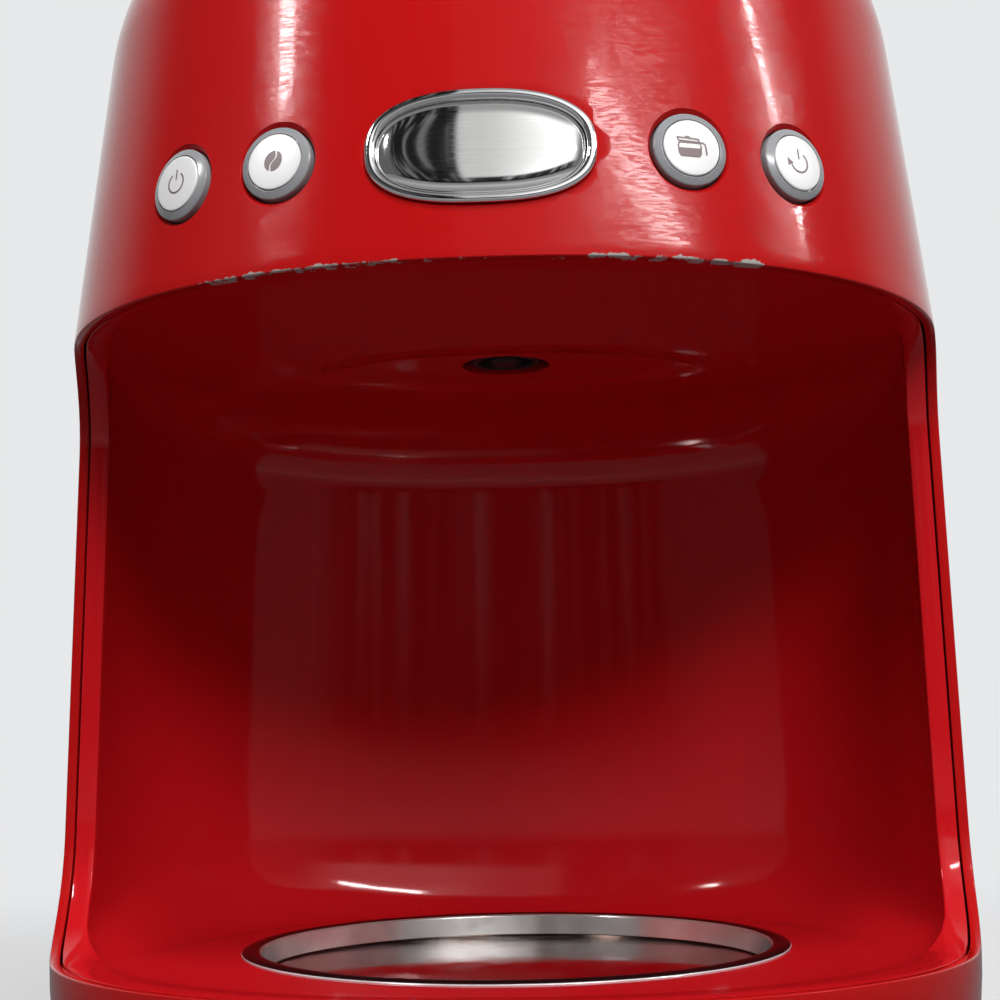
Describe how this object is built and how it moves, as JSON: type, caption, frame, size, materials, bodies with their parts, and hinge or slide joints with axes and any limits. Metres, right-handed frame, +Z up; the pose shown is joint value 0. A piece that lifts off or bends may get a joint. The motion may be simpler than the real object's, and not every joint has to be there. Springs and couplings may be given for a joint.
{
  "type": "drip coffee machine",
  "caption": "Domed red drip-filter coffee machine with a C-shaped jug bay, steel hot plate, oval display, push buttons and a hinged lid over the filter basket and reservoir.",
  "frame": {"origin": "middle of the footprint at table level, under the middle of the machine", "axes": "+Z up, -Y towards the user (the jug bay opens to -Y), +X to the right as the user sees it"},
  "size_m": [0.256, 0.245, 0.361],
  "materials": {
    "red_paint": "gloss",
    "red_liner": "gloss",
    "black_plastic": "satin",
    "clear_plastic": "clear",
    "white_plastic": "satin",
    "grey_plastic": "satin",
    "steel_polished": "polished",
    "steel_brushed": "brushed",
    "lens_silver": "polished",
    "aluminium_cast": "cast",
    "rubber_black": "matte",
    "silicone": "satin",
    "board_green": "satin",
    "switch_black": "satin",
    "ceramic_white": "glazed"
  },
  "bodies": {
    "housing": {"outer_shell": "red_paint", "bay_liner": "red_liner", "hinge_brackets": "black_plastic", "hinge_pins": "steel_polished", "top_deck": "black_plastic", "filter_basket": "black_plastic", "mesh_filter": "steel_brushed", "valve_spring": "steel_polished", "valve_cap": "black_plastic", "reservoir": "clear_plastic", "level_window": "clear_plastic", "reservoir_filter": "white_plastic", "check_valve": "white_plastic", "feed_hose": "silicone", "riser_hose": "silicone", "riser_spout": "black_plastic", "hot_plate": "steel_brushed", "warmer_ring": "steel_polished", "heater": "aluminium_cast", "heater_strap": "steel_brushed", "strap_nut": "steel_brushed", "thermostats": "ceramic_white", "thermal_fuse": "ceramic_white", "display_bezel": "steel_polished", "display_lens": "lens_silver", "display_module": "switch_black", "control_carrier": "black_plastic", "control_board": "board_green", "button_switches": "switch_black", "base_plate": "black_plastic", "base_frame": "black_plastic", "base_screws": "steel_brushed", "feet": "rubber_black", "power_board": "board_green", "cord_gland": "rubber_black"},
    "lid_body": {"lid": "red_paint", "lid_liner": "black_plastic", "lid_arms": "black_plastic", "spray_head": "black_plastic"},
    "power_key": {"power_button": "grey_plastic", "power_disc": "white_plastic"},
    "aroma_key": {"aroma_button": "grey_plastic", "aroma_disc": "white_plastic"},
    "jug_key": {"jug_button": "grey_plastic", "jug_disc": "white_plastic"},
    "timer_key": {"timer_button": "grey_plastic", "timer_disc": "white_plastic"},
    "valve_body": {"valve_plunger": "white_plastic", "valve_seal": "silicone"}
  },
  "joints": [
    {"name": "lid_hinge", "type": "hinge", "parent": "housing", "child": "lid_body", "pos_m": [0, 0.1108, 0.323], "axis": [-1, 0, 0], "range_deg": [0, 95]},
    {"name": "power_press", "type": "slide", "parent": "housing", "child": "power_key", "axis": [0.5649, 0.8173, -0.1132], "range_m": [0, 0.0012], "stiffness_N_per_m": 1200, "springref_m": -0.0005},
    {"name": "aroma_press", "type": "slide", "parent": "housing", "child": "aroma_key", "axis": [0.3309, 0.9372, -0.1108], "range_m": [0, 0.0012], "stiffness_N_per_m": 1200, "springref_m": -0.0005},
    {"name": "jug_press", "type": "slide", "parent": "housing", "child": "jug_key", "axis": [-0.3309, 0.9372, -0.1108], "range_m": [0, 0.0012], "stiffness_N_per_m": 1200, "springref_m": -0.0005},
    {"name": "timer_press", "type": "slide", "parent": "housing", "child": "timer_key", "axis": [-0.5649, 0.8173, -0.1132], "range_m": [0, 0.0012], "stiffness_N_per_m": 1200, "springref_m": -0.0005},
    {"name": "valve_lift", "type": "slide", "parent": "housing", "child": "valve_body", "axis": [0, 0, 1], "range_m": [0, 0.004], "stiffness_N_per_m": 100, "springref_m": -0.002, "deforming": ["valve_spring"]}
  ]
}
